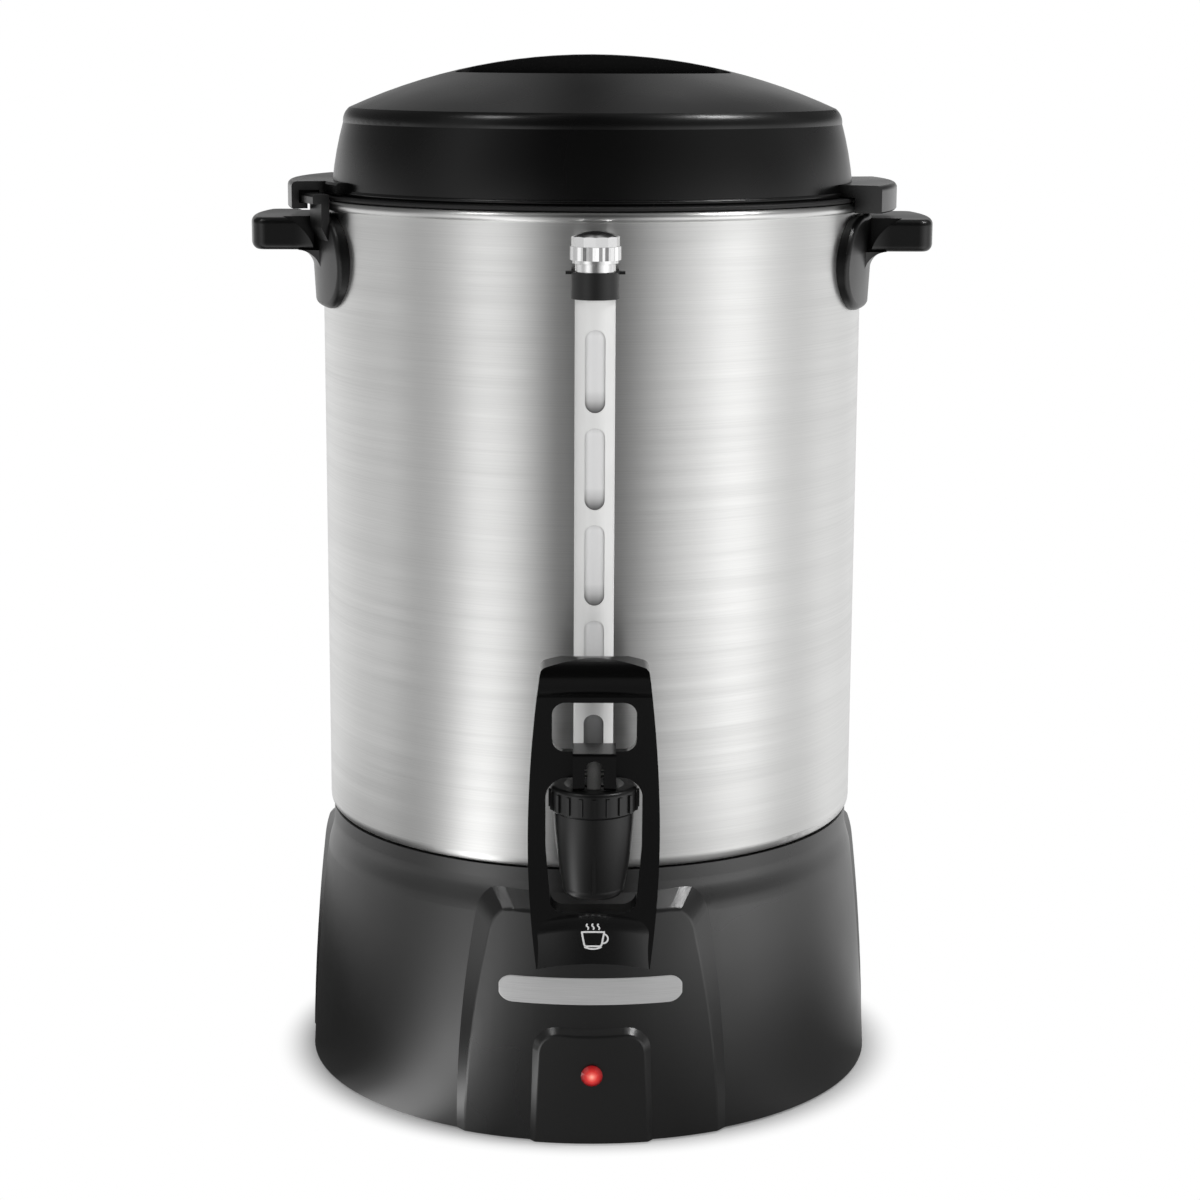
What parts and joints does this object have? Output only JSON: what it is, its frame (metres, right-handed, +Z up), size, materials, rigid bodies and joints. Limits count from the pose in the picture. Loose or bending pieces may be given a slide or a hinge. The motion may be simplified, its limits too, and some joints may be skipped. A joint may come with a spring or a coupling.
{
  "type": "coffee urn",
  "caption": "Percolating coffee urn: brushed tank on a black base, dished lid with grip bar, two side handles, sight gauge and press-lever tap at the front.",
  "frame": {"origin": "on the tank's axis, at the height of the surface that the feet stand on", "axes": "+Z up, the tap and gauge face -Y, +X is to the right of someone who faces the tap"},
  "size_m": [0.3028, 0.313, 0.4575],
  "materials": {
    "tank_metal": "brushed",
    "body_plastic": "satin",
    "inlet_plastic": "matte",
    "plate_steel": "satin",
    "fastener_steel": "bright",
    "brass_parts": "plain",
    "soft_rubber": "matte",
    "silicone": "matte",
    "jewel_red": "clear red",
    "lamp_glass": "clear",
    "gauge_glass": "clear",
    "shield_plastic": "satin white",
    "bright_chrome": "polished",
    "percolator_aluminium": "satin",
    "stem_plastic": "satin"
  },
  "bodies": {
    "urn": {"tank_shell": "tank_metal", "base_housing": "body_plastic", "right_handle": "body_plastic", "left_handle": "body_plastic", "gauge_clip": "body_plastic", "faucet_body": "body_plastic", "power_inlet": "inlet_plastic", "terminal_block": "inlet_plastic", "base_plate": "plate_steel", "heating_well": "plate_steel", "well_nut": "plate_steel", "perk_heater": "plate_steel", "warmer_element": "plate_steel", "thermostat": "plate_steel", "base_screws": "fastener_steel", "stud_nuts": "fastener_steel", "handle_screws": "fastener_steel", "clip_screw": "fastener_steel", "shank_nut": "fastener_steel", "handle_inserts": "brass_parts", "inlet_pins": "brass_parts", "thermal_fuse": "brass_parts", "base_feet": "soft_rubber", "well_gasket": "soft_rubber", "shank_gasket": "soft_rubber", "shank_washer": "soft_rubber", "gauge_washers": "soft_rubber", "indicator_lens": "jewel_red", "neon_lamp": "lamp_glass", "gauge_tube": "gauge_glass", "gauge_shield": "shield_plastic", "gauge_fitting": "bright_chrome"},
    "bonnet": {"faucet_bonnet": "body_plastic"},
    "cap": {"gauge_cap": "bright_chrome"},
    "valve": {"valve_stem": "stem_plastic", "seat_cup": "silicone"},
    "press_lever": {"lever": "body_plastic", "lever_pin": "fastener_steel"},
    "stem": {"pump_stem": "percolator_aluminium"},
    "washer": {"pump_washer": "percolator_aluminium"},
    "basket": {"coffee_basket": "percolator_aluminium"},
    "cover": {"basket_cover": "percolator_aluminium"},
    "seal": {"lid_seal": "soft_rubber"},
    "lid": {"lid_shell": "body_plastic"}
  },
  "joints": [
    {"name": "stem_lift", "type": "slide", "parent": "urn", "child": "stem", "axis": [0, 0, 1], "range_m": [0, 0.29]},
    {"name": "washer_flutter", "type": "slide", "parent": "stem", "child": "washer", "axis": [0, 0, 1], "range_m": [0, 0.003]},
    {"name": "basket_lift", "type": "slide", "parent": "stem", "child": "basket", "axis": [0, 0, 1], "range_m": [0, 0.1]},
    {"name": "cover_lift", "type": "slide", "parent": "basket", "child": "cover", "axis": [0, 0, 1], "range_m": [0, 0.06]},
    {"name": "lid_lift", "type": "slide", "parent": "cover", "child": "seal", "axis": [0, 0, 1], "range_m": [0, 0.16]},
    {"name": "lid_turn", "type": "hinge", "parent": "seal", "child": "lid", "pos_m": [0, 0, 0.4], "axis": [0, 0, 1], "range_deg": [-35, 8]},
    {"name": "lever_press", "type": "hinge", "parent": "valve", "child": "press_lever", "pos_m": [0, -0.165, 0.173], "axis": [1, 0, 0], "range_deg": [0, 12]},
    {"name": "valve_lift", "type": "slide", "parent": "urn", "child": "valve", "axis": [0, 0, 1], "range_m": [0, 0.00275], "stiffness_N_per_m": 300, "springref_m": -0.004, "deforming": ["seat_cup"]},
    {"name": "bonnet_turn", "type": "hinge", "parent": "urn", "child": "bonnet", "pos_m": [0, -0.165, 0.1635], "axis": [0, 0, 1], "continuous": true},
    {"name": "cap_turn", "type": "hinge", "parent": "urn", "child": "cap", "pos_m": [0, -0.134, 0.3825], "axis": [0, 0, 1], "continuous": true}
  ],
  "couplings": [
    {"joint": "lever_press", "follows": "valve_lift", "rad_per_m": 76.1}
  ]
}
